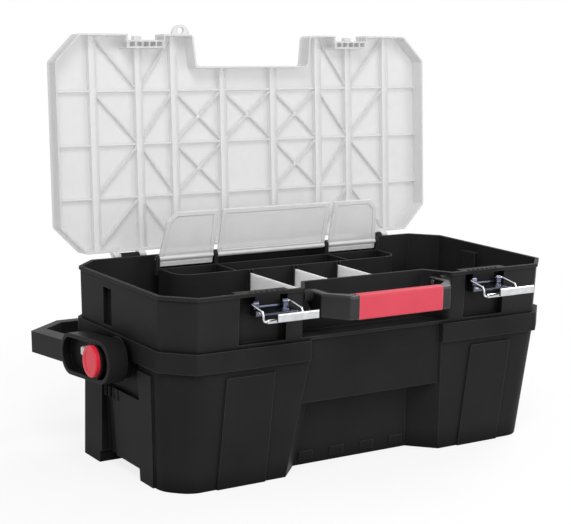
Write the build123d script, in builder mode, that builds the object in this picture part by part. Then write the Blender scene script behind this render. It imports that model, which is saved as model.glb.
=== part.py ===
from build123d import *
import math
import os

os.makedirs("parts", exist_ok=True)

# A two-stage plastic tool box, standing open: a deep lower bin, a lift-out organiser case with a clear
# ribbed lid, and a U-shaped carry bail folded back behind it. Sizes are in millimetres. Front is -Y, up
# is +Z, and the origin lies on the floor under the middle of the box.

# The whole box: width and depth over the organiser's rim, and the heights of its two stages.
box_width = 610.0
box_depth = 290.0
bin_height = 182.0
case_height = 68.0

# Lower bin: a tapered tub with cut corners, a rim band, and a deep alcove at the foot of its front.
bin_inset_x = 3.0          # how far the tub's top lies inside the organiser's rim
bin_inset_y = 2.0
bin_draft_x = 12.0         # how far each wall leans in from the band to the floor
bin_draft_y = 20.0
bin_base_corner = 27.0
bin_corner = 35.0
bin_wall = 3.5
band_height = 26.0
band_step = 3.5            # how far the rim band stands out from the tub's top
bin_notch_base_share = 0.41    # width of the front notch at the floor, as a share of the box's width
bin_notch_top_share = 0.3475   # and under the rim band
bin_notch_depth = 4.0      # the flat front above the alcove lies this far back
bin_notch_flare = 3.0
alcove_height = 97.0
alcove_depth = 33.0
alcove_flare = 33.0
foot_height = 16.0
foot_gap = 92.0            # open length between the front and rear feet
centre_foot_length = 70.0  # a small foot under the middle of the floor
centre_foot_width = 36.0
plan_round = 6.0           # rounding of the corners seen from above
tub_round = 34.0           # and of the tub's own corners under the rim band, which are softer
block_panel_share = 0.115  # raised panels on the front, one at each side of the alcove
block_panel_place = 0.315  # its middle, as a share of the box's width
block_panel_proud = 2.5
panel_top_gap = 9.0        # from a panel's top to the rim band
mark_width = 22.0          # small raised marks along the foot of the alcove
mark_height = 12.0
mark_low = 7.0
mark_pitch = 49.5
mark_count = 4
mark_proud = 1.5
side_panel_proud = 3.0     # raised panels on the sides, with an upright channel between them
side_panel_edge = 16.0     # from a side panel's end to the cut corner

# Carry bail: pivots on a hub at each side and folds back behind the box.
pivot_y = -8.0
pivot_drop = 30.0          # below the bin's rim
bail_droop = 4.9           # degrees below level when folded back
side_pad_proud = 5.0       # the round hub pads on the bin's sides
side_pad_lap = 2.0         # how far a pad reaches past the hub's edge
hub_recess_width = 98.0    # the recess that each hub pad stands in
hub_recess_height = 46.0
hub_recess_depth = 6.0
hub_recess_top_gap = 2.0   # from the recess to the rim band
bail_stand_off = 7.0       # from a hub pad to the inside of the arm
bail_arm = 24.0            # arm thickness, side to side
bail_height = 29.0
bail_nose = 28.0           # arm length in front of the pivot
bail_rear_space = 112.0    # from the organiser's rim to the back of the crossbar
bail_bar = 22.0            # crossbar thickness, front to back
bail_corner = 68.0
bail_inner_corner = 41.0   # small enough for the lid's corner to swing past it
boss_length = 140.0        # racetrack boss on the outside of each arm
boss_height = 54.0
boss_front = 43.0          # its reach in front of the pivot
boss_proud = 2.0
boss_border = 5.0
boss_pocket = 12.0
boss_round = 1.5
hub_radius = 25.0
hub_gap = 0.4              # between the hub's shoulder and the arm
trunnion_radius = 12.0
running_gap = 0.06         # radial clearance of a pin or shaft that turns in its hole
trunnion_length = 17.0
washer_radius = 16.5
washer_thickness = 1.6
side_gap = 0.3             # between faces that slide past each other
screw_radius = 2.5
screw_head_radius = 4.5
screw_head_height = 2.5
screw_spread = 17.0
hub_screw_reach = 8.0
button_radius = 20.0
button_proud = 6.0         # how far the button's face stands out from the boss
button_stroke = 4.0
button_wall = 2.5
button_dimple = 14.0
button_dimple_depth = 0.8
chamber_wall = 3.0
spring_width = 9.0
spring_thickness = 0.6

# Upper case: the organiser that lifts out of the bin.
rim_lip_height = 4.5
rim_lip = 1.5
case_draft = 1.5
case_corner = 35.0
case_wall = 3.0
shelf_thickness = 4.0      # the shoulder that sits on the bin's rim
nest_gap_x = 6.0           # clearance of the nested part inside the rim band, side to side
nest_gap_y = 12.0          # and front to back, at the notch
nest_drop = 52.0           # how deep the organiser hangs in the bin
nest_corner = 33.0
notch_mouth_share = 0.387  # front notch that the handle stands in, as a share of the box's width
notch_flare = 23.0
notch_depth = 36.0
side_groove_y = 29.0
side_groove_width = 24.0
side_groove_depth = 6.0
side_groove_drop = 15.0    # from the rim to the groove's top
latch_place = 0.282        # middle of each latch, as a share of the box's width
latch_recess_place = 0.2893  # middle of the recess round each latch, as a share of the box's width
latch_recess_width = 69.0
latch_recess_depth = 13.0
latch_pad_width = 35.0     # the block in the recess that carries the bracket
latch_pad_drop = 30.0

# Lid: clear, ribbed inside, hinged behind the case's rear rim.
lid_overhang = 3.0
lid_corner = 37.0
lid_skirt = 26.0
lid_wall = 2.4
lid_seat_gap = 0.6
lid_open_angle = 94.3
hinge_behind = 9.0         # from the rim to the hinge's pin
hinge_drop = 1.0
hinge_place = 0.341        # as a share of the box's width
hinge_pin_radius = 2.0
hinge_barrel = 5.0
lug_tangents = ((-0.57, 0.82), (0.64, -0.77))      # where a lug's web meets its barrel, in barrel radii
knuckle_tangents = ((0.5, 0.87), (-0.64, -0.64))   # and a knuckle's web
knuckle_width = 10.0
lug_width = 28.0
lid_notch_lap = 20.0       # how much narrower the lid's notch is than the case's, each side
lid_notch_flare = 5.0
lid_notch_depth = 41.0     # from the rim's front
column_shares = (0.138, 0.395, 0.575, 0.8)          # places of the broad ribs across each half of the lid
row_shares = (0.247, 0.493, 0.74)                  # places of the cross ribs, from the hinge side
column_width = 11.0
column_height = 8.0
rib_width = 2.6
rib_height = 6.0
stud_radius = 3.4          # small studs where two braces cross
comb_width = 55.0
comb_step = 8.0            # how far the lid's front edge steps back at a latch
comb_depth = 11.0
comb_slots = 5
tooth_width = 2.6
eye_beside_latch = 54.0
eye_radius = 13.0
eye_hole = 5.0
eye_thickness = 5.0

# Rear bin with its three clear flaps.
tray_half_share = 0.3016
tray_depth = 57.3
tray_drop = 14.0           # from the rim to the bin's edge
tray_wall = 2.2
tray_round = 25.0
tray_gap = 0.5             # between the bin's back and the case's nested wall
tray_flange_lap = 14.5     # how far its flange lies on the case's shoulder
rod_behind = 2.7           # from the bin's back to the flaps' rod
rod_drop = 1.0
rod_radius = 1.5
rod_lug_radius = 4.5
rod_lug_width = 5.0
flap_barrel = 3.5
flap_length = 66.0
flap_lean = 11.0           # degrees forward of upright when open
flap_thickness = 2.0
flap_border = 6.0
flap_border_proud = 0.8
flap_corner = 13.0
flap_middle_share = 0.1475
flap_gap = 8.0
flap_lip = 11.0
flap_taper = 7.0           # how far the outer edge of an end flap leans in

# Dividers between the rear bin and the notch.
divider_pitch_share = 0.1197
divider_thickness = 2.5
divider_drop = 19.0
divider_slot_gap = 0.4
slot_rib_width = 2.0
slot_rib_depth = 4.0
slot_rib_drop = 12.0

# Front handle with its red grip.
handle_inset = 9.0         # from the rim's front back to the handle's pins
handle_drop = 12.0         # from the rim down to them
handle_side_gap = 15.0     # between the handle and the notch's mouth
handle_reach = 45.0        # in front of the rim
handle_low_drop = 37.0
handle_high_drop = 6.0
handle_arm = 11.0
handle_bar = 14.0
handle_corner_x = 24.0
handle_corner_y = 30.0
handle_tail = 7.0
handle_relief_y = 17.0     # cut from the low rear corners of the arms, so that the handle can fold down
handle_relief_z = 15.0
handle_pin_radius = 3.0
handle_boss_radius = 8.0
handle_boss_length = 13.0
grip_end_gap = 37.0        # from the handle's side to the end of the grip
grip_skin = 2.0            # the bar is this much thinner inside the grip
grip_proud = 0.4
grip_round = 3.0

# Draw latches: a bent wire link on a bracket, and a sheet lever on the link.
bracket_width = 34.0
bracket_thickness = 1.5
bracket_low_drop = 29.0
bracket_high_drop = 16.0
apron_half = 24.0          # the bracket's plate that reaches forward under the link's pivots
apron_reach = 32.0
apron_drop = 17.0
apron_dip = 2.0
rivet_drop = 23.0
rivet_radius = 2.0
rivet_head = 3.6
rivet_head_height = 1.2
rivet_spread = 11.0
link_stand_off = 5.5       # from the rim's front to the link's pivot
link_drop = 12.0
wire_radius = 1.5
wire_bend = 3.0
link_half = 28.0
link_knee = (-28.0, -5.0)  # (y, z) from the link's pivot
link_foot = (-31.0, -16.0)
eye_wall = 1.2
eye_width = 7.0
lever_half = 24.0
lever_reach = 31.0
lever_rise = 11.0
lever_thickness = 1.4
lever_lip = 10.0
lever_lip_half = 29.0
lever_lip_round = 1.2

# Sizes and places that follow from those above.
rim_height = bin_height + case_height
bin_top_width = box_width - 2 * bin_inset_x
bin_top_depth = box_depth - 2 * bin_inset_y
bin_base_width = bin_top_width - 2 * bin_draft_x
bin_base_depth = bin_top_depth - 2 * bin_draft_y
bin_body = bin_height - band_height
bin_notch_base = box_width * bin_notch_base_share
bin_notch_top = box_width * bin_notch_top_share
panel_high = bin_body - panel_top_gap
pivot_z = bin_height - pivot_drop
side_pad_face = bin_top_width / 2 + side_pad_proud
hub_recess_face = bin_top_width / 2 - hub_recess_depth
hub_recess_high = bin_body - hub_recess_top_gap
hub_recess_low = hub_recess_high - hub_recess_height
bail_inner = side_pad_face + bail_stand_off
bail_reach = box_depth / 2 - pivot_y + bail_rear_space
case_floor = bin_height - nest_drop
notch_mouth = box_width * notch_mouth_share
notch_back = notch_mouth - 2 * notch_flare
notch_back_y = notch_depth - box_depth / 2
latch_x = box_width * latch_place
latch_recess_x = box_width * latch_recess_place
latch_pad_low = rim_height - latch_pad_drop
rivet_z = rim_height - rivet_drop
hinge_x = box_width * hinge_place
hinge_y = box_depth / 2 + hinge_behind
hinge_z = rim_height - hinge_drop
handle_half = notch_mouth / 2 - handle_side_gap
handle_y = handle_inset - box_depth / 2
handle_z = rim_height - handle_drop
handle_boss_reach = handle_half + handle_boss_length


def between(low, high, share):
    """The value a share of the way from low to high."""
    return low + (high - low) * share


def cut_plan(width, depth, corner, mouth=0.0, back=0.0, notch=0.0):
    """Points of a rectangle with cut corners and, where notch is above 0, a flared notch at its front."""
    half_w = width / 2
    half_d = depth / 2
    points = [(-half_w, corner - half_d), (corner - half_w, -half_d)]
    if notch > 0:
        points += [(-mouth / 2, -half_d), (-back / 2, notch - half_d)]
        points += [(back / 2, notch - half_d), (mouth / 2, -half_d)]
    points += [(half_w - corner, -half_d), (half_w, corner - half_d), (half_w, half_d - corner)]
    points += [(half_w - corner, half_d), (corner - half_w, half_d), (-half_w, half_d - corner)]
    return points


def inset_corner(corner, wall):
    """The corner cut that keeps a wall's thickness across a cut corner."""
    return corner - wall * (2 - math.sqrt(2))


def bin_plan(z):
    """Width, depth, corner cut and notch width of the tub at a height."""
    base = (bin_base_width, bin_base_depth, bin_base_corner, bin_notch_base)
    top = (bin_top_width, bin_top_depth, bin_corner, bin_notch_top)
    return [between(low, high, z / bin_body) for low, high in zip(base, top)]


def bin_points(z, wall, notch, flare):
    """Points of the tub's plan at a height, drawn in by a wall's thickness."""
    width, depth, corner, mouth = bin_plan(z)
    mouth = mouth + 2 * wall
    return cut_plan(width - 2 * wall, depth - 2 * wall, inset_corner(corner, wall), mouth, mouth - 2 * flare,
                    notch)


# Lower bin
band_width = bin_top_width + 2 * band_step
band_depth = bin_top_depth + 2 * band_step
floor_top = foot_height + bin_wall
panel_root = bin_wall / 2  # how deep a raised panel is rooted in the wall
alcove_roof = alcove_height + bin_wall
outer_corners = bin_notch_base / 2 + bin_wall  # corners of the plan beyond this are rounded
tub_stages = (
    (0.0, alcove_height, alcove_depth, alcove_flare),
    (alcove_height, bin_body, bin_notch_depth, bin_notch_flare),
)
inside_stages = (
    (bin_wall, alcove_roof, alcove_depth, alcove_flare),
    (alcove_roof, bin_body, bin_notch_depth, bin_notch_flare),
)
block_panels = [
    (side * box_width * block_panel_place, box_width * block_panel_share, 0.0, panel_high, 0.0,
     block_panel_proud)
    for side in (-1, 1)
]
marks = [
    ((i - (mark_count - 1) / 2) * mark_pitch, mark_width, mark_low, mark_low + mark_height, alcove_depth,
     mark_proud)
    for i in range(mark_count)
]

with BuildPart() as lower_bin:
    for low, high, notch, flare in tub_stages:
        for z in (low, high):
            with BuildSketch(Plane.XY.offset(z)) as outline:
                Polygon(*bin_points(z, 0.0, notch, flare), align=None)
                fillet([v for v in outline.vertices() if abs(v.X) > outer_corners], tub_round)
        loft(ruled=True)
    with BuildSketch(Plane.XY.offset(bin_body)) as outline:
        Polygon(*cut_plan(band_width, band_depth, bin_corner, bin_notch_top,
                          bin_notch_top - 2 * bin_notch_flare, bin_notch_depth + band_step), align=None)
        fillet([v for v in outline.vertices() if abs(v.X) > outer_corners], plan_round)
    extrude(amount=band_height)
    # The raised panels on the outside, each following the draft of its wall.
    for x, width, low, high, inset, proud in block_panels + marks:
        for z in (low, high):
            with BuildSketch(Plane.XY.offset(z)):
                with Locations((x, inset - bin_plan(z)[1] / 2 - (proud - panel_root) / 2)):
                    Rectangle(width, proud + panel_root)
        loft(ruled=True)
    # On the sides, the front panels follow the wall too, and the rear ones stand upright like posts.
    for side in (-1, 1):
        for end in (-1, 1):
            for z in (0.0, panel_high):
                width, depth, corner, mouth = bin_plan(panel_high if end > 0 else z)
                panel_inner = side_groove_y + end * side_groove_width / 2
                panel_outer = end * (depth / 2 - corner - side_panel_edge)
                panel_low_x = bin_plan(z)[0] / 2 - panel_root
                panel_high_x = width / 2 + side_panel_proud
                panel_x = side * (panel_low_x + panel_high_x) / 2
                with BuildSketch(Plane.XY.offset(z)):
                    with Locations((panel_x, (panel_inner + panel_outer) / 2)):
                        Rectangle(panel_high_x - panel_low_x, abs(panel_outer - panel_inner))
            loft(ruled=True)
    # The inside, over the alcove's roof and under it.
    for low, high, notch, flare in inside_stages:
        for z in (low, high):
            with BuildSketch(Plane.XY.offset(z)) as outline:
                Polygon(*bin_points(z, bin_wall, notch, flare), align=None)
                fillet([v for v in outline.vertices() if abs(v.X) > outer_corners], tub_round - bin_wall)
        loft(ruled=True, mode=Mode.SUBTRACT)
    with BuildSketch(Plane.XY.offset(bin_body)) as outline:
        Polygon(*bin_points(bin_body, bin_wall, bin_notch_depth, bin_notch_flare), align=None)
        fillet([v for v in outline.vertices() if abs(v.X) > outer_corners], tub_round - bin_wall)
    extrude(amount=band_height, mode=Mode.SUBTRACT)
    # The raised floor between the front and rear feet, and the small foot under its middle.
    low_z = (Align.CENTER, Align.CENTER, Align.MIN)
    Box(bin_base_width - bin_wall, foot_gap + 2 * bin_wall, floor_top, align=low_z)
    Box(2 * bin_top_width, foot_gap, foot_height, align=low_z, mode=Mode.SUBTRACT)
    Box(centre_foot_length, centre_foot_width, foot_height, align=low_z)
    # A recess in each side, with the round pad in it that the bail's hub is screwed to.
    recess_root = bin_plan(hub_recess_low)[0] / 2
    pad_root = hub_recess_face - bin_wall / 2
    for side in (-1, 1):
        backing_x = side * (hub_recess_face - bin_wall + recess_root) / 2
        with Locations((backing_x, pivot_y, hub_recess_low - bin_wall)):
            Box(recess_root - hub_recess_face + bin_wall, hub_recess_width + 2 * bin_wall,
                hub_recess_height + 2 * bin_wall, align=low_z)
        with Locations((side * (hub_recess_face + band_width / 4), pivot_y, hub_recess_low)):
            Box(band_width / 2, hub_recess_width, hub_recess_height, align=low_z, mode=Mode.SUBTRACT)
        with Locations((side * (pad_root + side_pad_face) / 2, pivot_y, pivot_z)):
            Cylinder(hub_radius + side_pad_lap, side_pad_face - pad_root, rotation=(0, 90, 0))
    # Screw holes for the bail's hubs.
    for side in (-1, 1):
        for step in (-1, 1):
            with Locations((side * side_pad_face, pivot_y, pivot_z + step * screw_spread)):
                Cylinder(screw_radius, 2 * hub_screw_reach, rotation=(0, 90, 0), mode=Mode.SUBTRACT)
lower_bin.part.label = "lower_bin"
export_step(lower_bin.part, "parts/lower_bin.step")

# Upper case
shelf_top = bin_height + shelf_thickness
lip_low = rim_height - rim_lip_height
wall_top_width = box_width - 2 * rim_lip
wall_top_depth = box_depth - 2 * rim_lip
wall_base_width = wall_top_width - 2 * case_draft
wall_base_depth = wall_top_depth - 2 * case_draft
nest_top_width = bin_top_width - 2 * bin_wall - 2 * nest_gap_x
nest_top_depth = bin_top_depth - 2 * bin_wall - 2 * bin_notch_depth - 2 * nest_gap_y
nest_share = (bin_height - case_floor) / bin_body
nest_base_width = nest_top_width - nest_share * (bin_top_width - bin_base_width)
nest_base_depth = nest_top_depth - nest_share * (bin_top_depth - bin_base_depth)
case_inside = case_floor + case_wall
notch_inner_y = notch_back_y + case_wall
wall_sections = (
    (shelf_top, wall_base_width, wall_base_depth),
    (lip_low, wall_top_width, wall_top_depth),
)
nest_sections = (
    (case_floor, nest_base_width, nest_base_depth),
    (bin_height, nest_top_width, nest_top_depth),
)
divider_places = [i * box_width * divider_pitch_share for i in (-1, 0, 1)]
slot_rib_offset = divider_thickness / 2 + divider_slot_gap + slot_rib_width / 2
pin_hole_reach = handle_boss_reach - case_wall

with BuildPart() as upper_case:
    for z, width, depth in wall_sections:
        with BuildSketch(Plane.XY.offset(z)) as outline:
            notch = depth / 2 + notch_back_y
            Polygon(*cut_plan(width, depth, case_corner, notch_mouth, notch_back, notch), align=None)
            fillet(outline.vertices(), plan_round)
    loft(ruled=True)
    with BuildSketch(Plane.XY.offset(lip_low)) as outline:
        notch = box_depth / 2 + notch_back_y
        Polygon(*cut_plan(box_width, box_depth, case_corner, notch_mouth, notch_back, notch), align=None)
        fillet(outline.vertices(), plan_round)
    extrude(amount=rim_lip_height)
    with BuildSketch(Plane.XY.offset(bin_height)) as outline:
        Polygon(*cut_plan(wall_base_width, wall_base_depth, case_corner), align=None)
        fillet(outline.vertices(), plan_round)
    extrude(amount=shelf_thickness)
    for z, width, depth in nest_sections:
        with BuildSketch(Plane.XY.offset(z)) as outline:
            Polygon(*cut_plan(width, depth, nest_corner), align=None)
            fillet(outline.vertices(), plan_round)
    loft(ruled=True)
    # Inside: the walls, the opening through the shoulder, and the nested part.
    for z, width, depth in wall_sections:
        with BuildSketch(Plane.XY.offset(z)) as outline:
            mouth = notch_mouth + 2 * case_wall
            back = notch_back + 2 * case_wall
            inner_depth = depth - 2 * case_wall
            inner = cut_plan(width - 2 * case_wall, inner_depth, inset_corner(case_corner, case_wall),
                             mouth, back, inner_depth / 2 + notch_inner_y)
            Polygon(*inner, align=None)
            fillet(outline.vertices(), plan_round - case_wall)
    loft(ruled=True, mode=Mode.SUBTRACT)
    with BuildSketch(Plane.XY.offset(lip_low)) as outline:
        inner_depth = wall_top_depth - 2 * case_wall
        inner = cut_plan(wall_top_width - 2 * case_wall, inner_depth, inset_corner(case_corner, case_wall),
                         notch_mouth + 2 * case_wall, notch_back + 2 * case_wall,
                         inner_depth / 2 + notch_inner_y)
        Polygon(*inner, align=None)
        fillet(outline.vertices(), plan_round - case_wall)
    extrude(amount=rim_lip_height, mode=Mode.SUBTRACT)
    with BuildSketch(Plane.XY.offset(bin_height)) as outline:
        inner_depth = nest_top_depth - 2 * case_wall
        back = notch_back + 2 * case_wall
        Polygon(*cut_plan(nest_top_width - 2 * case_wall, inner_depth, nest_corner, back, back,
                          inner_depth / 2 + notch_inner_y), align=None)
    extrude(amount=shelf_thickness, mode=Mode.SUBTRACT)
    for z, width, depth in nest_sections:
        with BuildSketch(Plane.XY.offset(max(z, case_inside))) as outline:
            Polygon(*cut_plan(width - 2 * case_wall, depth - 2 * case_wall, nest_corner), align=None)
            fillet(outline.vertices(), plan_round - case_wall)
    loft(ruled=True, mode=Mode.SUBTRACT)
    for side in (-1, 1):
        # Recess round the latch, under the rim, and the block in it that carries the bracket.
        recess_y = latch_recess_depth - box_depth / 2
        recess_root_y = recess_y + case_wall
        with Locations((side * latch_recess_x, recess_root_y, shelf_top)):
            Box(latch_recess_width + 2 * case_wall, recess_root_y + (wall_base_depth - case_wall) / 2,
                case_height - shelf_thickness, align=(Align.CENTER, Align.MAX, Align.MIN))
        with Locations((side * latch_recess_x, recess_y, shelf_top)):
            Box(latch_recess_width, box_depth, lip_low - shelf_top,
                align=(Align.CENTER, Align.MAX, Align.MIN), mode=Mode.SUBTRACT)
        with Locations((side * latch_x, -box_depth / 2, latch_pad_low)):
            Box(latch_pad_width, latch_recess_depth + case_wall / 2, lip_low - latch_pad_low,
                align=(Align.CENTER, Align.MIN, Align.MIN))
        # Upright groove in the side wall.
        groove_x = wall_base_width / 2 - side_groove_depth
        side_groove_top = rim_height - side_groove_drop
        with Locations((side * (groove_x + side_groove_depth / 2 - case_wall / 2), side_groove_y, shelf_top)):
            Box(side_groove_depth + case_wall, side_groove_width + 2 * case_wall,
                side_groove_top + case_wall - shelf_top, align=(Align.CENTER, Align.CENTER, Align.MIN))
        with Locations((side * (groove_x + rim_lip + side_groove_depth), side_groove_y, shelf_top)):
            Box(2 * (rim_lip + side_groove_depth), side_groove_width, side_groove_top - shelf_top,
                align=(Align.CENTER, Align.CENTER, Align.MIN), mode=Mode.SUBTRACT)
        # Boss and hole for the handle's pin.
        boss_length_x = handle_boss_reach - handle_half - side_gap
        with Locations((side * (handle_boss_reach - boss_length_x / 2), handle_y, handle_z)):
            Cylinder(handle_boss_radius, boss_length_x, rotation=(0, 90, 0))
        with Locations((side * pin_hole_reach / 2, handle_y, handle_z)):
            Cylinder(handle_pin_radius, pin_hole_reach, rotation=(0, 90, 0), mode=Mode.SUBTRACT)
        # Rivet holes of the latch bracket.
        for step in (-1, 1):
            rivet_x = side * latch_x + step * rivet_spread
            with Locations((rivet_x, -box_depth / 2, rivet_z)):
                Cylinder(rivet_radius, 2 * (rim_lip + case_wall), rotation=(90, 0, 0), mode=Mode.SUBTRACT)
        # Hinge lug, between two knuckles of the lid.
        with BuildSketch(Plane.YZ.offset(side * hinge_x)):
            wall_y = wall_base_depth / 2 - case_wall / 2
            with Locations((hinge_y, hinge_z)):
                Circle(hinge_barrel)
            web = [(hinge_y + hinge_barrel * a, hinge_z + hinge_barrel * b) for a, b in lug_tangents]
            Polygon((wall_y, hinge_z - 3 * hinge_barrel), (wall_y, hinge_z - 1.5 * hinge_barrel), *web,
                    align=None)
            with Locations((hinge_y, hinge_z)):
                Circle(hinge_pin_radius, mode=Mode.SUBTRACT)
        extrude(amount=lug_width / 2, both=True)
    # Ribs that hold the front ends of the dividers.
    for x in divider_places:
        for step in (-1, 1):
            with Locations((x + step * slot_rib_offset, notch_inner_y - case_wall / 2, shelf_top)):
                Box(slot_rib_width, slot_rib_depth + case_wall / 2, rim_height - slot_rib_drop - shelf_top,
                    align=(Align.CENTER, Align.MIN, Align.MIN))
upper_case.part.label = "upper_case"
export_step(upper_case.part, "parts/upper_case.step")

# Rear bin
tray_half = box_width * tray_half_share
flap_middle_half = box_width * flap_middle_share
tray_partition = flap_middle_half + flap_gap / 2
tray_top = rim_height - tray_drop
tray_base = case_inside
tray_back_y = nest_base_depth / 2 - case_wall - tray_gap
tray_front_y = tray_back_y - tray_depth
tray_flange_y = nest_top_depth / 2 - case_wall + tray_flange_lap
rod_y = tray_back_y + rod_behind
rod_z = rim_height - rod_drop
compartments = (
    (-tray_half + tray_wall, -tray_partition - tray_wall / 2),
    (-tray_partition + tray_wall / 2, tray_partition - tray_wall / 2),
    (tray_partition + tray_wall / 2, tray_half - tray_wall),
)
with BuildPart() as rear_bin:
    with Locations((0, tray_front_y, tray_base)):
        Box(2 * tray_half, tray_back_y - tray_front_y, tray_top - tray_base,
            align=(Align.CENTER, Align.MIN, Align.MIN))
    fillet(rear_bin.edges().filter_by(Axis.Z).group_by(Axis.Y)[0], tray_round)
    for low, high in compartments:
        with BuildSketch(Plane.XY.offset(tray_base + tray_wall)) as pocket:
            with Locations(((low + high) / 2, (tray_front_y + tray_back_y) / 2)):
                Rectangle(high - low, tray_back_y - tray_front_y - 2 * tray_wall)
            front_corners = pocket.vertices().group_by(Axis.Y)[0]
            end_corners = [v for v in front_corners if abs(v.X) > tray_half - 2 * tray_wall]
            if end_corners:
                fillet(end_corners, tray_round - tray_wall)
        extrude(amount=tray_top - tray_base, mode=Mode.SUBTRACT)
    with Locations((0, tray_back_y - tray_wall / 2, shelf_top)):
        Box(2 * tray_half, tray_flange_y - tray_back_y + tray_wall / 2, tray_wall,
            align=(Align.CENTER, Align.MIN, Align.MIN))
    for x in (-tray_half - rod_lug_width / 2 + tray_wall / 2, -tray_partition, tray_partition,
              tray_half + rod_lug_width / 2 - tray_wall / 2):
        with BuildSketch(Plane.YZ.offset(x)):
            with Locations((rod_y, rod_z)):
                Circle(rod_lug_radius)
            with Locations((rod_y, rod_z)):
                Rectangle(2 * rod_lug_radius, rod_z - tray_top + 2 * rod_lug_radius,
                          align=(Align.CENTER, Align.MAX))
            with Locations((rod_y, rod_z)):
                Circle(rod_radius, mode=Mode.SUBTRACT)
        extrude(amount=rod_lug_width / 2, both=True)
    for x in divider_places:
        for step in (-1, 1):
            with Locations((x + step * slot_rib_offset, tray_front_y + tray_wall / 2, tray_base)):
                Box(slot_rib_width, slot_rib_depth + tray_wall / 2, tray_top - tray_base,
                    align=(Align.CENTER, Align.MAX, Align.MIN))
rear_bin.part.label = "rear_bin"
export_step(rear_bin.part, "parts/rear_bin.step")

rod_half = tray_half + rod_lug_width - tray_wall / 2
with BuildPart() as flap_hinge_rod:
    with Locations((0, rod_y, rod_z)):
        Cylinder(rod_radius, 2 * rod_half, rotation=(0, 90, 0))
flap_hinge_rod.part.label = "flap_hinge_rod"
export_step(flap_hinge_rod.part, "parts/flap_hinge_rod.step")

# Flaps: on a plane through the rod, with local Y up along the open flap and local Z towards the front.
lean = math.radians(flap_lean)
flap_plane = Plane(origin=(0, rod_y, rod_z), x_dir=(1, 0, 0), z_dir=(0, -math.cos(lean), -math.sin(lean)))
flap_end_inner = flap_middle_half + flap_gap
flap_end_outer = tray_half - tray_wall / 2 - side_gap
flap_spans = {
    "flap_left": (-flap_end_outer, -flap_end_inner, flap_lip),
    "flap_middle": (-flap_middle_half, flap_middle_half, 0.0),
    "flap_right": (flap_end_inner, flap_end_outer, flap_lip),
}
for name, (low, high, lip) in flap_spans.items():
    with BuildPart() as flap:
        cut_left = flap_corner if name == "flap_left" else 0.0
        cut_right = flap_corner if name == "flap_right" else 0.0
        top_low = low + (flap_taper if name == "flap_left" else 0.0)
        top_high = high - (flap_taper if name == "flap_right" else 0.0)
        points = [(low, -lip), (low, 0.0), (top_low, flap_length - cut_left)]
        points += [(top_low + cut_left, flap_length), (top_high - cut_right, flap_length)]
        points += [(top_high, flap_length - cut_right), (high, 0.0), (high, -lip)]
        corners = [p for i, p in enumerate(points) if p not in points[:i]]
        # A raised border round the edge, then the sheet across it.
        with BuildSketch(flap_plane):
            Polygon(*corners, align=None)
            offset(amount=-flap_border, kind=Kind.INTERSECTION, mode=Mode.SUBTRACT)
        extrude(amount=flap_thickness / 2 + flap_border_proud, both=True)
        with BuildSketch(flap_plane):
            Polygon(*corners, align=None)
        extrude(amount=flap_thickness / 2, both=True)
        with Locations(((low + high) / 2, rod_y, rod_z)):
            Cylinder(flap_barrel, high - low, rotation=(0, 90, 0))
            Cylinder(rod_radius + running_gap, high - low, rotation=(0, 90, 0), mode=Mode.SUBTRACT)
    flap.part.label = name
    export_step(flap.part, "parts/" + name + ".step")

# Dividers
divider_top = rim_height - divider_drop
divider_front = notch_inner_y + side_gap
divider_rear = tray_front_y - side_gap
for name, x in zip(("divider_left", "divider_middle", "divider_right"), divider_places):
    with BuildPart() as divider:
        with Locations((x, (divider_front + divider_rear) / 2, case_inside)):
            Box(divider_thickness, divider_rear - divider_front, divider_top - case_inside,
                align=(Align.CENTER, Align.CENTER, Align.MIN))
    divider.part.label = name
    export_step(divider.part, "parts/" + name + ".step")

# Lid: on a plane through the hinge pin, with local Y pointing to the rear of the closed lid and local Z
# pointing up out of it. Local coordinates are those of the closed lid, counted from the pin.
opening = math.radians(-lid_open_angle)
lid_plane = Plane(origin=(0, hinge_y, hinge_z), x_dir=(1, 0, 0),
                  z_dir=(0, -math.sin(opening), math.cos(opening)))
lid_width = box_width + 2 * lid_overhang
lid_depth = box_depth + 2 * lid_overhang
lid_mouth = rim_height + lid_seat_gap - hinge_z
lid_top = lid_mouth + lid_skirt
lid_inner_corner = inset_corner(lid_corner, lid_wall)
lid_notch_mouth = notch_mouth - 2 * lid_notch_lap
lid_notch_back = lid_notch_mouth - 2 * lid_notch_flare
lid_notch_y = lid_notch_depth - box_depth / 2
eye_x = eye_beside_latch - latch_x
lid_edge = -lid_depth / 2 - hinge_y
lid_inner = cut_plan(lid_width - 2 * lid_wall, lid_depth - 2 * lid_wall, lid_inner_corner,
                     lid_notch_mouth + 2 * lid_wall, lid_notch_back + 2 * lid_wall,
                     lid_depth / 2 + lid_notch_y)
rear_row = hinge_y - lid_depth / 2
front_row = hinge_y + lid_depth / 2
side_edge = lid_width / 2
rib_columns = [side_edge * share for share in column_shares]
rib_rows = [between(rear_row, front_row, share) for share in row_shares]
near, second, third, far = rib_columns
low_row, middle_row, high_row = rib_rows
half_braces = [
    ((near, middle_row), (second, high_row)), ((near, high_row), (second, middle_row)),
    ((near, low_row), (second, middle_row)), ((near, middle_row), (second, low_row)),
    ((third, middle_row), (second, low_row)), ((third, middle_row), (second, high_row)),
    ((third, middle_row), (far, low_row)), ((third, middle_row), (far, high_row)),
    ((second, front_row), (third, high_row)), ((third, high_row), (far, front_row)),
    ((second, rear_row), (third, low_row)), ((third, low_row), (far, rear_row)),
]
braces = [((side * a, r), (side * b, s)) for side in (-1, 1) for (a, r), (b, s) in half_braces]
braces += [((-near, middle_row), (near, high_row)), ((-near, high_row), (near, middle_row))]
stud_x = (near + second) / 2
stud_rows = ((low_row + middle_row) / 2, (middle_row + high_row) / 2)
studs = [(side * stud_x, row) for side in (-1, 1) for row in stud_rows] + [(0.0, stud_rows[1])]

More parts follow.
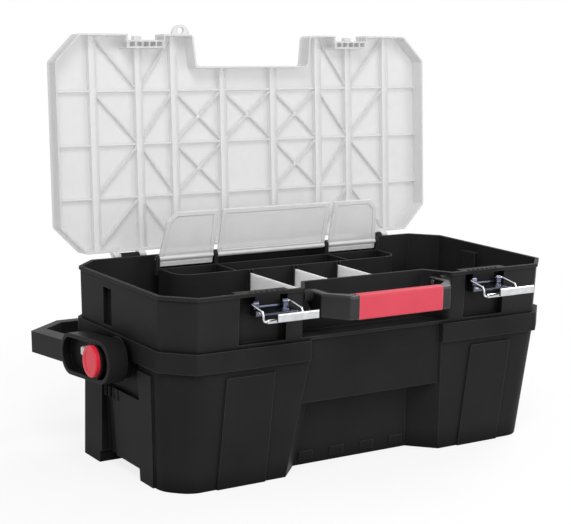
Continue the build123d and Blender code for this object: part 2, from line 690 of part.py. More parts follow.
with BuildPart() as lid:
    with BuildSketch(lid_plane.offset(lid_mouth)) as outline:
        with Locations((0, -hinge_y)):
            Polygon(*cut_plan(lid_width, lid_depth, lid_corner, lid_notch_mouth, lid_notch_back,
                              lid_depth / 2 + lid_notch_y), align=None)
        fillet(outline.vertices(), plan_round)
    extrude(amount=lid_skirt)
    with BuildSketch(lid_plane.offset(lid_mouth)) as outline:
        with Locations((0, -hinge_y)):
            Polygon(*lid_inner, align=None)
        fillet(outline.vertices(), plan_round - lid_wall)
    extrude(amount=lid_skirt - lid_wall, mode=Mode.SUBTRACT)
    # Combs that the latches hook over: a step in the front edge, with a row of slots behind it.
    slot_pitch = (comb_width - tooth_width) / comb_slots
    for side in (-1, 1):
        with BuildSketch(lid_plane.offset(lid_mouth)):
            with Locations((side * latch_x, lid_edge)):
                Rectangle(comb_width + 2 * lid_wall, comb_step + comb_depth, align=(Align.CENTER, Align.MIN))
        extrude(amount=lid_skirt)
        with BuildSketch(lid_plane.offset(lid_mouth)):
            with Locations((side * latch_x, lid_edge)):
                Rectangle(comb_width, comb_step, align=(Align.CENTER, Align.MIN))
        extrude(amount=lid_skirt, mode=Mode.SUBTRACT)
        with BuildSketch(lid_plane.offset(lid_mouth)):
            for i in range(comb_slots):
                place = (i + 0.5 - comb_slots / 2) * slot_pitch
                with Locations((side * latch_x + place, lid_edge + comb_step + lid_wall)):
                    Rectangle(slot_pitch - tooth_width, comb_depth - 2 * lid_wall,
                              align=(Align.CENTER, Align.MIN))
        extrude(amount=lid_skirt - lid_wall, mode=Mode.SUBTRACT)
    # Ribs on the inside of the top.
    with BuildSketch(lid_plane.offset(lid_top - lid_wall)):
        for x in rib_columns:
            with Locations((-x, -hinge_y), (x, -hinge_y)):
                Rectangle(column_width, lid_depth)
        with Locations((0, -hinge_y)):
            Polygon(*lid_inner, align=None, mode=Mode.INTERSECT)
    extrude(amount=-column_height)
    with BuildSketch(lid_plane.offset(lid_top - lid_wall)):
        for row in rib_rows:
            with Locations((0, -row)):
                Rectangle(lid_width, rib_width)
        for (x0, row0), (x1, row1) in braces:
            turn = math.degrees(math.atan2(row0 - row1, x1 - x0))
            with Locations(Location(((x0 + x1) / 2, -(row0 + row1) / 2, 0), (0, 0, turn))):
                Rectangle(math.hypot(x1 - x0, row1 - row0), rib_width)
        for x, row in studs:
            with Locations((x, -row)):
                Circle(stud_radius)
        with Locations((0, -hinge_y)):
            Polygon(*lid_inner, align=None, mode=Mode.INTERSECT)
    extrude(amount=-rib_height)
    # Padlock eye at the front edge.
    with BuildSketch(lid_plane.offset(lid_mouth)):
        with Locations((eye_x, lid_edge)):
            Circle(eye_radius)
            Rectangle(2 * eye_radius, 2 * lid_wall)
            Rectangle(4 * eye_radius, eye_radius, align=(Align.CENTER, Align.MIN), mode=Mode.SUBTRACT)
        with Locations((eye_x, lid_edge)):
            Rectangle(2 * eye_radius, lid_wall, align=(Align.CENTER, Align.MIN))
        with Locations((eye_x, lid_edge - eye_hole)):
            Circle(eye_hole, mode=Mode.SUBTRACT)
    extrude(amount=eye_thickness)
    # Hinge knuckles behind the rear skirt.
    skirt_v = lid_depth / 2 - lid_wall / 2 - hinge_y
    knuckle_places = [
        side * hinge_x + step * (lug_width + knuckle_width + 2 * side_gap) / 2
        for side in (-1, 1) for step in (-1, 1)
    ]
    for x in knuckle_places:
        with BuildSketch(Plane(origin=(x, hinge_y, hinge_z), x_dir=lid_plane.y_dir, z_dir=(1, 0, 0))):
            Circle(hinge_barrel)
            web = [(hinge_barrel * a, hinge_barrel * b) for a, b in knuckle_tangents]
            Polygon((skirt_v, lid_mouth + lid_wall / 2), (skirt_v, lid_mouth + 2 * hinge_barrel), *web,
                    align=None)
            Circle(hinge_pin_radius + running_gap, mode=Mode.SUBTRACT)
        extrude(amount=knuckle_width / 2, both=True)
lid.part.label = "lid"
export_step(lid.part, "parts/lid.step")

with BuildPart() as lid_hinge_pins:
    with Locations((-hinge_x, hinge_y, hinge_z), (hinge_x, hinge_y, hinge_z)):
        Cylinder(hinge_pin_radius, lug_width + 2 * knuckle_width + 2 * side_gap, rotation=(0, 90, 0))
lid_hinge_pins.part.label = "lid_hinge_pins"
export_step(lid_hinge_pins.part, "parts/lid_hinge_pins.step")

# Front handle: a deep band bent into a U, with a red sleeve round its bar.
handle_front_y = -box_depth / 2 - handle_reach
handle_low = rim_height - handle_low_drop
handle_high = rim_height - handle_high_drop
grip_half = handle_half - grip_end_gap
handle_tail_y = handle_y + handle_tail
handle_points = [
    (-handle_half, handle_tail_y), (-handle_half, handle_front_y + handle_corner_y),
    (handle_corner_x - handle_half, handle_front_y),
]
handle_inner = [
    (handle_arm - handle_half, handle_tail_y), (handle_arm - handle_half, handle_front_y + handle_corner_y),
    (handle_corner_x + handle_arm / 2 - handle_half, handle_front_y + handle_bar),
]
handle_mid_z = (handle_low + handle_high) / 2
handle_mid_y = handle_front_y + handle_bar / 2
handle_height = handle_high - handle_low

with BuildPart() as front_handle:
    with BuildSketch(Plane.XY.offset(handle_low)) as outline:
        outer = handle_points + [(-x, y) for x, y in reversed(handle_points)]
        inner = handle_inner + [(-x, y) for x, y in reversed(handle_inner)]
        Polygon(*outer, *reversed(inner), align=None)
        fillet(outline.vertices().group_by(Axis.Y)[:-1], plan_round / 2)
    extrude(amount=handle_height)
    with Locations((0, handle_y, handle_z)):
        Cylinder(handle_pin_radius + running_gap, 2 * handle_half, rotation=(0, 90, 0), mode=Mode.SUBTRACT)
    fillet(front_handle.edges().filter_by(Axis.X).group_by(Axis.Y)[0], plan_round / 2)
    with BuildSketch(Plane.YZ):
        Polygon((handle_tail_y, handle_low), (handle_tail_y, handle_low + handle_relief_z),
                (handle_tail_y - handle_relief_y, handle_low), align=None)
    extrude(amount=handle_half, both=True, mode=Mode.SUBTRACT)
    # The bar is thinner where the grip goes round it.
    with BuildSketch(Plane.YZ):
        with Locations((handle_mid_y, handle_mid_z)):
            Rectangle(handle_bar + 2 * grip_skin, handle_height + 2 * grip_skin)
            RectangleRounded(handle_bar - 2 * grip_skin, handle_height - 2 * grip_skin, grip_round,
                             mode=Mode.SUBTRACT)
    extrude(amount=grip_half, both=True, mode=Mode.SUBTRACT)
front_handle.part.label = "front_handle"

with BuildPart() as front_handle_grip:
    with BuildSketch(Plane.YZ):
        with Locations((handle_mid_y, handle_mid_z)):
            RectangleRounded(handle_bar + 2 * grip_proud, handle_height + 2 * grip_proud, grip_round)
    extrude(amount=grip_half, both=True)
    add(front_handle.part, mode=Mode.SUBTRACT)
front_handle_grip.part.label = "front_handle_grip"
export_step(front_handle.part, "parts/front_handle.step")
export_step(front_handle_grip.part, "parts/front_handle_grip.step")

pin_length = pin_hole_reach - handle_half + handle_arm
with BuildPart() as front_handle_pins:
    for side in (-1, 1):
        with Locations((side * (pin_hole_reach - pin_length / 2), handle_y, handle_z)):
            Cylinder(handle_pin_radius, pin_length, rotation=(0, 90, 0))
front_handle_pins.part.label = "front_handle_pins"
export_step(front_handle_pins.part, "parts/front_handle_pins.step")

# Draw latches
bracket_face = -box_depth / 2
bracket_low = rim_height - bracket_low_drop
bracket_high = rim_height - bracket_high_drop
link_y = bracket_face - link_stand_off
link_z = rim_height - link_drop
apron_z = rim_height - apron_drop
foot_y = link_y + link_foot[0]
foot_z = link_z + link_foot[1]
eye_radius_out = wire_radius + running_gap + eye_wall
bracket_eye_x = link_half - wire_bend - side_gap - eye_width / 2
for side_name, side in (("left", -1), ("right", 1)):
    centre = side * latch_x
    with BuildPart() as latch_bracket:
        with Locations((centre, bracket_face, (bracket_low + bracket_high) / 2)):
            Box(bracket_width, bracket_thickness, bracket_high - bracket_low,
                align=(Align.CENTER, Align.MAX, Align.CENTER))
        apron_tip = (bracket_face - apron_reach, apron_z - apron_dip)
        with BuildSketch(Plane.YZ.offset(centre)):
            Polygon((bracket_face, apron_z), apron_tip, (apron_tip[0], apron_tip[1] - bracket_thickness),
                    (bracket_face, apron_z - bracket_thickness), align=None)
        extrude(amount=apron_half, both=True)
        for step in (-1, 1):
            with BuildSketch(Plane.YZ.offset(centre + step * bracket_eye_x)):
                with Locations((link_y, link_z)):
                    Circle(eye_radius_out)
                    Rectangle(2 * eye_radius_out, link_z - apron_z + bracket_thickness,
                              align=(Align.CENTER, Align.MAX))
                with Locations((link_y, link_z)):
                    Circle(wire_radius + running_gap, mode=Mode.SUBTRACT)
            extrude(amount=eye_width / 2, both=True)
            with Locations((centre + step * rivet_spread, bracket_face, rivet_z)):
                Cylinder(rivet_radius, 4 * bracket_thickness, rotation=(90, 0, 0), mode=Mode.SUBTRACT)
    latch_bracket.part.label = "latch_bracket_" + side_name
    export_step(latch_bracket.part, "parts/latch_bracket_" + side_name + ".step")

    # The link is one wire: two turned-in ends, two bent legs and a crossbar.
    knee = (link_y + link_knee[0], link_z + link_knee[1])
    tip = bracket_eye_x - eye_width / 2 - side_gap
    route = [(-tip, link_y, link_z), (-link_half, link_y, link_z)]
    route += [(-link_half, *knee), (-link_half, foot_y, foot_z)]
    route += [(-x, y, z) for x, y, z in reversed(route)]
    with BuildPart() as latch_link:
        with BuildLine() as path:
            FilletPolyline(*[(centre + x, y, z) for x, y, z in route], radius=wire_bend)
        with BuildSketch(Plane(origin=path.line @ 0, z_dir=path.line % 0)):
            Circle(wire_radius)
        sweep(path=path.line)
    latch_link.part.label = "latch_link_" + side_name
    export_step(latch_link.part, "parts/latch_link_" + side_name + ".step")

    with BuildPart() as latch_lever:
        with BuildSketch(Plane.YZ.offset(centre)):
            reach_y = foot_y - lever_reach
            reach_z = foot_z + lever_rise
            slope = math.atan2(lever_rise, -lever_reach)
            normal = Vector(-math.sin(slope), math.cos(slope)) * (lever_thickness / 2)
            Polygon((foot_y + normal.X, foot_z + normal.Y), (reach_y + normal.X, reach_z + normal.Y),
                    (reach_y - normal.X, reach_z - normal.Y), (foot_y - normal.X, foot_z - normal.Y),
                    align=None)
            with Locations((foot_y, foot_z)):
                Circle(eye_radius_out)
                Circle(wire_radius + running_gap, mode=Mode.SUBTRACT)
        extrude(amount=lever_half, both=True)
        with BuildSketch(Plane.YZ.offset(centre)):
            with Locations((reach_y, reach_z)):
                RectangleRounded(2 * lever_thickness, lever_lip, lever_lip_round)
        extrude(amount=lever_lip_half, both=True)
    latch_lever.part.label = "latch_lever_" + side_name
    export_step(latch_lever.part, "parts/latch_lever_" + side_name + ".step")

with BuildPart() as latch_rivets:
    for side in (-1, 1):
        for step in (-1, 1):
            head_y = bracket_face - bracket_thickness
            shank = bracket_thickness + rim_lip + case_wall
            with Locations((side * latch_x + step * rivet_spread, head_y, rivet_z)):
                Cylinder(rivet_radius, shank, rotation=(-90, 0, 0),
                         align=(Align.CENTER, Align.CENTER, Align.MIN))
                Cylinder(rivet_head, rivet_head_height, rotation=(90, 0, 0),
                         align=(Align.CENTER, Align.CENTER, Align.MIN))
latch_rivets.part.label = "latch_rivets"
export_step(latch_rivets.part, "parts/latch_rivets.step")

# Carry bail, drawn on a plane through its pivots that droops to the rear.
droop = math.radians(bail_droop)
bail_plane = Plane(origin=(0, pivot_y, pivot_z), x_dir=(1, 0, 0), z_dir=(0, math.sin(droop), math.cos(droop)))
bail_outer = bail_inner + bail_arm
boss_face = bail_outer + boss_proud
button_face = boss_face + button_proud
chamber_floor = bail_inner - hub_gap + trunnion_length
bail_half_points = [
    (-bail_outer, -bail_nose), (-bail_outer, bail_reach - bail_corner),
    (bail_corner - bail_outer, bail_reach),
]
bail_inner_points = [
    (-bail_inner, -bail_nose), (-bail_inner, bail_reach - bail_bar - bail_inner_corner),
    (bail_inner_corner - bail_inner, bail_reach - bail_bar),
]
boss_centre = boss_length / 2 - boss_front

with BuildPart() as carry_handle:
    with BuildSketch(bail_plane) as outline:
        outer = bail_half_points + [(-x, y) for x, y in reversed(bail_half_points)]
        inner = bail_inner_points + [(-x, y) for x, y in reversed(bail_inner_points)]
        Polygon(*outer, *reversed(inner), align=None)
    extrude(amount=bail_height / 2, both=True)
    for side in (-1, 1):
        arm_plane = Plane(origin=(side * bail_inner, pivot_y, pivot_z), x_dir=bail_plane.y_dir,
                          z_dir=(side, 0, 0))
        with BuildSketch(arm_plane):
            with Locations((boss_centre, 0)):
                SlotOverall(boss_length, boss_height)
        extrude(amount=boss_face - bail_inner)
        with BuildSketch(arm_plane.offset(boss_face - bail_inner - boss_pocket)):
            with Locations((boss_centre, 0)):
                SlotOverall(boss_length - 2 * boss_border, boss_height - 2 * boss_border)
            Circle(button_radius + chamber_wall, mode=Mode.SUBTRACT)
        extrude(amount=boss_pocket, mode=Mode.SUBTRACT)
        with BuildSketch(arm_plane):
            Circle(trunnion_radius + running_gap)
        extrude(amount=bail_arm + boss_proud, mode=Mode.SUBTRACT)
        with BuildSketch(arm_plane.offset(chamber_floor - bail_inner)):
            Circle(button_radius + running_gap)
        extrude(amount=boss_face - chamber_floor, mode=Mode.SUBTRACT)
carry_handle.part.label = "carry_handle"
export_step(carry_handle.part, "parts/carry_handle.step")

# Hubs on the bin's sides, with the washers and screws that keep the bail on them.
washer_x = chamber_floor + side_gap
button_back = chamber_floor + button_stroke + 2 * side_gap
spring_low = washer_x + washer_thickness + screw_head_height + side_gap
spring_high = button_face - button_wall - side_gap
for side_name, side in (("left", -1), ("right", 1)):
    hub_plane = Plane(origin=(side * side_pad_face, pivot_y, pivot_z), x_dir=(0, 1, 0), z_dir=(side, 0, 0))
    with BuildPart() as pivot_hub:
        with BuildSketch(hub_plane):
            Circle(hub_radius)
            with Locations((0, screw_spread), (0, -screw_spread)):
                Circle(screw_radius, mode=Mode.SUBTRACT)
        extrude(amount=bail_inner - hub_gap - side_pad_face)
        with BuildSketch(hub_plane.offset(bail_inner - hub_gap - side_pad_face)):
            with Locations((0, screw_spread), (0, -screw_spread)):
                Circle(screw_head_radius)
        extrude(amount=-screw_head_height, mode=Mode.SUBTRACT)
        with BuildSketch(hub_plane.offset(bail_inner - hub_gap - side_pad_face)):
            Circle(trunnion_radius)
        extrude(amount=washer_x - bail_inner + hub_gap)
        with BuildSketch(hub_plane.offset(washer_x - side_pad_face)):
            Circle(screw_radius)
        extrude(amount=-trunnion_length / 2, mode=Mode.SUBTRACT)
    pivot_hub.part.label = "pivot_hub_" + side_name
    export_step(pivot_hub.part, "parts/pivot_hub_" + side_name + ".step")

    button_plane = Plane(origin=(side * button_back, pivot_y, pivot_z), x_dir=(0, 1, 0), z_dir=(side, 0, 0))
    with BuildPart() as lock_button:
        with BuildSketch(button_plane):
            Circle(button_radius)
        extrude(amount=button_face - button_back)
        fillet(lock_button.faces().sort_by(Axis.X)[0 if side < 0 else -1].edges(), boss_round)
        with BuildSketch(button_plane):
            Circle(button_radius - button_wall)
        extrude(amount=button_face - button_back - button_wall, mode=Mode.SUBTRACT)
        with BuildSketch(button_plane.offset(button_face - button_back)):
            Circle(button_dimple)
        extrude(amount=-button_dimple_depth, mode=Mode.SUBTRACT)
    lock_button.part.label = "lock_button_" + side_name
    export_step(lock_button.part, "parts/lock_button_" + side_name + ".step")

    # A leaf bent into a shallow arch between the screw's head and the button.
    leaf_plane = Plane(origin=(0, pivot_y, pivot_z), x_dir=(side, 0, 0), z_dir=(0, 1, 0))
    leaf_span = button_radius - 2 * button_wall
    with BuildPart() as button_spring:
        with BuildSketch(leaf_plane):
            with BuildLine():
                ThreePointArc((spring_low, -leaf_span), (spring_high, 0), (spring_low, leaf_span))
                Line((spring_low, leaf_span), (spring_low - spring_thickness, leaf_span))
                ThreePointArc((spring_low - spring_thickness, leaf_span), (spring_high - spring_thickness, 0),
                              (spring_low - spring_thickness, -leaf_span))
                Line((spring_low - spring_thickness, -leaf_span), (spring_low, -leaf_span))
            make_face()
        extrude(amount=spring_width / 2, both=True)
    button_spring.part.label = "button_spring_" + side_name
    export_step(button_spring.part, "parts/button_spring_" + side_name + ".step")

with BuildPart() as hub_washers:
    for side in (-1, 1):
        washer_plane = Plane(origin=(side * washer_x, pivot_y, pivot_z), x_dir=(0, 1, 0), z_dir=(side, 0, 0))
        with BuildSketch(washer_plane):
            Circle(washer_radius)
            Circle(screw_radius, mode=Mode.SUBTRACT)
        extrude(amount=washer_thickness)
hub_washers.part.label = "hub_washers"
export_step(hub_washers.part, "parts/hub_washers.step")

hub_face = bail_inner - hub_gap
with BuildPart() as hub_screws:
    for side in (-1, 1):
        screw_seats = [
            (washer_x + washer_thickness, 0.0, washer_thickness + trunnion_length / 2),
            (hub_face - screw_head_height, screw_spread, hub_face - side_pad_face + hub_screw_reach / 2),
            (hub_face - screw_head_height, -screw_spread, hub_face - side_pad_face + hub_screw_reach / 2),
        ]
        for seat, rise, length in screw_seats:
            seat_plane = Plane(origin=(side * seat, pivot_y, pivot_z + rise), x_dir=(0, 1, 0),
                               z_dir=(side, 0, 0))
            with BuildSketch(seat_plane):
                Circle(screw_head_radius)
            extrude(amount=screw_head_height)
            with BuildSketch(seat_plane):
                Circle(screw_radius)
            extrude(amount=-length)
hub_screws.part.label = "hub_screws"
export_step(hub_screws.part, "parts/hub_screws.step")
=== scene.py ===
import math

import bmesh
import bpy
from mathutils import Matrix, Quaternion, Vector


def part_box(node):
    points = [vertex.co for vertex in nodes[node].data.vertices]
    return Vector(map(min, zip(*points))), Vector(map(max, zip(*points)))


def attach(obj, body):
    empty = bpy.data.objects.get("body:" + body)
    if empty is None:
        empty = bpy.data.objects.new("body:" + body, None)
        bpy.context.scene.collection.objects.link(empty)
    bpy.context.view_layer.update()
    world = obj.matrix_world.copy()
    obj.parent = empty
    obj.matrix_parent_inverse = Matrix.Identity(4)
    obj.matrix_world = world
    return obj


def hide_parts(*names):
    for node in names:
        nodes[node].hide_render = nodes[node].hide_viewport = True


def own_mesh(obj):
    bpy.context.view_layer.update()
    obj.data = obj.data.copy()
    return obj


# A two-stage plastic tool box, standing open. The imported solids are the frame; each section below dresses
# one piece, or a group of like pieces, in the order in which the box is put together.
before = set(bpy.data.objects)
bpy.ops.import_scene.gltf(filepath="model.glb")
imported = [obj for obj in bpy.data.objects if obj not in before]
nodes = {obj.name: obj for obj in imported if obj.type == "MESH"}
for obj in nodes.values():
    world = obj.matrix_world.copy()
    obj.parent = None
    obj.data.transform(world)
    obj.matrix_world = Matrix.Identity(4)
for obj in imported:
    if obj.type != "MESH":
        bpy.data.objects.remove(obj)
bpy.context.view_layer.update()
scene = bpy.context.scene


# Lower bin: a deep tub of black polypropylene, injection moulded in one shot. Its outside has a fine
# spark-eroded grain, and its edges are shaded as a little rounded, with a painted highlight as thin grey
# lines and painted shade in its corners and creases.
class Wire:
    """One socket of a node tree. Sums with it add Math nodes to the tree, and node() adds any other node."""

    def __init__(self, tree, socket=None):
        self.tree = tree
        self.socket = socket

    def node(self, kind, settings, inputs, output=0):
        made = self.tree.nodes.new(kind)
        for name, value in settings.items():
            setattr(made, name, value)
        for name, value in inputs.items():
            if isinstance(value, Wire):
                self.tree.links.new(value.socket, made.inputs[name])
            elif isinstance(value, list):
                for part in value:
                    self.tree.links.new(part.socket, made.inputs[name])
            else:
                made.inputs[name].default_value = value
        return Wire(self.tree, made.outputs[output])

    def maths(self, operation, first, second):
        return self.node("ShaderNodeMath", {"operation": operation}, {0: first, 1: second})

    def __add__(self, other):
        return self.maths("ADD", self, other)

    def __radd__(self, other):
        return self.maths("ADD", other, self)

    def __sub__(self, other):
        return self.maths("SUBTRACT", self, other)

    def __rsub__(self, other):
        return self.maths("SUBTRACT", other, self)

    def __mul__(self, other):
        return self.maths("MULTIPLY", self, other)

    def __rmul__(self, other):
        return self.maths("MULTIPLY", other, self)


def start_finish(name):
    """A new material: the material, its shader, a wire to build on, and the place on the piece."""
    material = bpy.data.materials.new(name)
    material.use_nodes = True
    shader = material.node_tree.nodes["Principled BSDF"]
    wire = Wire(material.node_tree)
    place = wire.node("ShaderNodeTexCoord", {}, {}, "Object")
    return material, shader, wire, place


def feed(shader, **wires):
    """Link wires to the shader's sockets, which are named here with underscores for spaces."""
    for name, wire in wires.items():
        wire.tree.links.new(wire.socket, shader.inputs[name.replace("_", " ")])


def settle(shader, **values):
    """Set what is the same all over a surface on the shader's own sockets."""
    for name, value in values.items():
        shader.inputs[name.replace("_", " ")].default_value = value


def grey(level):
    return (level, level, level, 1.0)


def grain(wire, place, size, detail=2.0):
    """Noise with features of about the given size in metres."""
    return wire.node("ShaderNodeTexNoise", {}, {"Vector": place, "Scale": 1 / size, "Detail": detail})


def blend(wire, factor, first, second):
    """A colour between two others."""
    return wire.node("ShaderNodeMix", {"data_type": "RGBA"}, {0: factor, 6: first, 7: second}, 2)


def rounded(wire, radius):
    """The normal of a surface with its edges rounded."""
    return wire.node("ShaderNodeBevel", {"samples": 4}, {"Radius": radius})


def along_edges(wire, soft):
    """A mask that is 1 along the edges, where the rounded normal turns away from the flat one."""
    edge_gain = 4.0
    hard = wire.node("ShaderNodeNewGeometry", {}, {}, "Normal")
    agree = wire.node("ShaderNodeVectorMath", {"operation": "DOT_PRODUCT"}, {0: soft, 1: hard}, "Value")
    return wire.node("ShaderNodeClamp", {}, {"Value": edge_gain * (1.0 - agree)})


def bumped(wire, height, strength, distance, normal):
    """A normal with small bumps on it."""
    return wire.node("ShaderNodeBump", {}, {"Strength": strength, "Distance": distance, "Height": height,
                                            "Normal": normal})


def moulded_black(name, tone, roughness, edge_radius, edge_highlight_tone, sheen):
    """Black moulded plastic with a fine grain, faint rubbed patches, a painted highlight along the edges and
    painted shade in the corners.
    """
    painted_shade_reach = 0.03
    corner_painted_shade = 0.001
    edge_highlight_share = 0.8
    material, shader, wire, place = start_finish(name)
    soft = rounded(wire, edge_radius)
    edge = along_edges(wire, soft)
    rubbed = grain(wire, place, size=0.07, detail=5.0)
    fine = grain(wire, place, size=0.0011)
    low = (tone * 0.75, tone * 0.75, tone * 0.8, 1.0)
    high = (tone * 1.25, tone * 1.25, tone * 1.3, 1.0)
    # Painted shade: ambient occlusion darkens the colour to near black in corners, creases and gaps between
    # parts.
    open_air = wire.node("ShaderNodeAmbientOcclusion", {"samples": 8}, {"Distance": painted_shade_reach}, "AO")
    colour_with_painted_shade = blend(wire, open_air, grey(corner_painted_shade), blend(wire, rubbed, low, high))
    # Painted highlight: the edges are coloured paler, less so where the painted shade lies.
    feed(shader, Base_Color=blend(wire, edge_highlight_share * edge * open_air, colour_with_painted_shade, grey(edge_highlight_tone)),
         Roughness=(roughness - 0.1) + 0.2 * rubbed - 0.08 * edge,
         Normal=bumped(wire, fine, strength=0.2, distance=0.0003, normal=soft))
    settle(shader, Specular_IOR_Level=sheen)
    return material


def dress(material, *names):
    """Give CAD nodes a material."""
    for name in names:
        slots = nodes[name].data.materials
        slots.clear()
        slots.append(material)


def paired_rows(name, shape):
    """A Geometry Nodes tree that sets a shape along two like rows, one at each side of the box."""
    tree = bpy.data.node_groups.new(name, "GeometryNodeTree")
    sockets = {"Count": "Int", "First": "Vector", "Step": "Vector", "Across": "Vector", "Radius": "Float",
               "Length": "Float", "Finish": "Material"}
    for label, kind in sockets.items():
        tree.interface.new_socket(label, in_out="INPUT", socket_type="NodeSocket" + kind)
    tree.interface.new_socket("Geometry", in_out="OUTPUT", socket_type="NodeSocketGeometry")
    given = tree.nodes.new("NodeGroupInput")
    made = tree.nodes.new("NodeGroupOutput")
    wire = Wire(tree)
    put = {label: Wire(tree, given.outputs[label]) for label in sockets}
    row = wire.node("GeometryNodeMeshLine", {}, {"Count": put["Count"], "Start Location": put["First"],
                                                 "Offset": put["Step"]})
    mate = wire.node("GeometryNodeTransform", {}, {"Geometry": row, "Translation": put["Across"]})
    both = wire.node("GeometryNodeJoinGeometry", {}, {"Geometry": [row, mate]})
    one = shape(wire, put["Radius"], put["Length"])
    many = wire.node("GeometryNodeInstanceOnPoints", {}, {"Points": both, "Instance": one})
    real = wire.node("GeometryNodeRealizeInstances", {}, {"Geometry": many})
    last = wire.node("GeometryNodeSetMaterial", {}, {"Geometry": real, "Material": put["Finish"]})
    tree.links.new(last.socket, made.inputs["Geometry"])
    return tree


def grow(name, tree, body, slot, **values):
    """Run a tree with these inputs, keep what it makes as a plain mesh, and fix that to a body."""
    piece = bpy.data.objects.new(name, bpy.data.meshes.new(name))
    scene.collection.objects.link(piece)
    maker = piece.modifiers.new(name, "NODES")
    maker.node_group = tree
    for item in tree.interface.items_tree:
        if item.in_out == "INPUT" and item.name in values:
            maker[item.identifier] = values[item.name]
    graph = bpy.context.evaluated_depsgraph_get()
    mesh = bpy.data.meshes.new_from_object(piece.evaluated_get(graph), depsgraph=graph)
    piece.modifiers.remove(maker)
    piece.data = mesh
    mesh.name = name
    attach(piece, body)
    return piece


def round_bar(wire, radius, length):
    """A bar that stands upright."""
    return wire.node("GeometryNodeMeshCylinder", {}, {"Vertices": 16, "Radius": radius, "Depth": length})


bin_black = moulded_black("bin_black", tone=0.0165, roughness=0.44, edge_radius=0.0018, edge_highlight_tone=0.08,
                          sheen=0.03)
dress(bin_black, "lower_bin")
# Half-round ribs under each of the bail's bosses stiffen the wall that carries it.
rib_face = 0.2985
rib_front = 0.003
rib_middle = 0.1
rib_step = 0.0118
rib_rows = paired_rows("hub_rib_rows", round_bar)
grow("hub_ribs", rib_rows, "lower_bin", "black_plastic", Count=4, First=(-rib_face, rib_front, rib_middle),
     Step=(0.0, rib_step, 0.0), Across=(2 * rib_face, 0.0, 0.0), Radius=0.0034, Length=0.014,
     Finish=bin_black)


# Pivot hubs: black trunnions screwed to the pads on the bin's sides, each with a zinc-plated washer and
# screws that keep the bail on. The same plating is on the pins and springs further on.
def plated_steel(name, dark, bright, roughness):
    """Plated steel, clouded a little and drawn along X."""
    material, shader, wire, place = start_finish(name)
    drawn = wire.node("ShaderNodeMapping", {}, {"Vector": place, "Scale": (0.06, 1.0, 1.0)})
    streaks = grain(wire, drawn, size=0.0006)
    clouds = grain(wire, place, size=0.01, detail=4.0)
    soft = rounded(wire, 0.0005)
    feed(shader, Base_Color=blend(wire, clouds, dark, bright), Roughness=(roughness - 0.06) + 0.12 * clouds,
         Normal=bumped(wire, streaks, strength=0.1, distance=0.0001, normal=soft))
    settle(shader, Metallic=1.0)
    return material


zinc = plated_steel("zinc", dark=(0.45, 0.46, 0.47, 1.0), bright=(0.62, 0.63, 0.64, 1.0), roughness=0.36)
dress(bin_black, "pivot_hub_left", "pivot_hub_right")
dress(zinc, "hub_washers", "hub_screws")


# Carry bail: a heavy U of black polypropylene that turns on the hubs. It is handled more than the rest, so
# its grain is rubbed to a softer sheen. A pale block in the pocket behind each button is painted light: it
# stands in for the white backdrop seen through the slot there.
def pale_nylon(name, dark, bright):
    """Pale plastic with a satin face, which light soaks through."""
    material, shader, wire, place = start_finish(name)
    soft = rounded(wire, 0.0008)
    clouds = grain(wire, place, size=0.03, detail=4.0)
    fine = grain(wire, place, size=0.001)
    feed(shader, Base_Color=blend(wire, clouds, dark, bright), Roughness=0.42 + 0.12 * clouds,
         Normal=bumped(wire, fine, strength=0.15, distance=0.0002, normal=soft))
    settle(shader, Subsurface_Weight=1.0, Subsurface_Radius=(1.0, 1.0, 1.0), Subsurface_Scale=0.01)
    return material


bail_black = moulded_black("bail_black", tone=0.0125, roughness=0.42, edge_radius=0.0022, edge_highlight_tone=0.06,
                           sheen=0.04)
dress(bail_black, "carry_handle")
# Painted light: a pale block in each button pocket stands in for the white backdrop seen through the slot.
backdrop_patch_white = pale_nylon("backdrop_patch_white", dark=grey(0.7), bright=grey(0.8))
backdrop_patch_size = Vector((0.009, 0.018, 0.011))
backdrop_patch_out = 0.332
backdrop_patch_back = 0.028
backdrop_patch_height = 0.1555
backdrop_patch_mesh = bmesh.new()
for backdrop_patch_x in (-backdrop_patch_out, backdrop_patch_out):
    for corner in bmesh.ops.create_cube(backdrop_patch_mesh, size=1.0)["verts"]:
        corner.co = Vector((backdrop_patch_x, backdrop_patch_back, backdrop_patch_height)) + corner.co * backdrop_patch_size
bmesh.ops.bevel(backdrop_patch_mesh, geom=backdrop_patch_mesh.edges[:], offset=0.0012, segments=3, affect="EDGES")
backdrop_patches = bpy.data.objects.new("backdrop_patches", bpy.data.meshes.new("backdrop_patches"))
backdrop_patch_mesh.to_mesh(backdrop_patches.data)
backdrop_patch_mesh.free()
scene.collection.objects.link(backdrop_patches)
backdrop_patches.data.materials.append(backdrop_patch_white)
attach(backdrop_patches, "carry_handle")


# Lock buttons: bright red push buttons in the bail's bosses, moulded in gloss acetal, with a ring turned
# round the dished face. A plated leaf spring sits behind each one.
def glossy_red():
    material, shader, wire, place = start_finish("button_red")
    soft = rounded(wire, 0.001)
    edge = along_edges(wire, soft)
    clouds = grain(wire, place, size=0.02, detail=3.0)
    fine = grain(wire, place, size=0.0007)
    flat = blend(wire, clouds, (0.70, 0.016, 0.04, 1.0), (0.80, 0.028, 0.056, 1.0))
    # Painted highlight: the button is coloured paler red along its edges.
    feed(shader, Base_Color=blend(wire, 0.5 * edge, flat, (0.85, 0.16, 0.20, 1.0)),
         Roughness=0.3 + 0.1 * clouds,
         Normal=bumped(wire, fine, strength=0.08, distance=0.0002, normal=soft))
    settle(shader, Specular_IOR_Level=0.3)
    return material


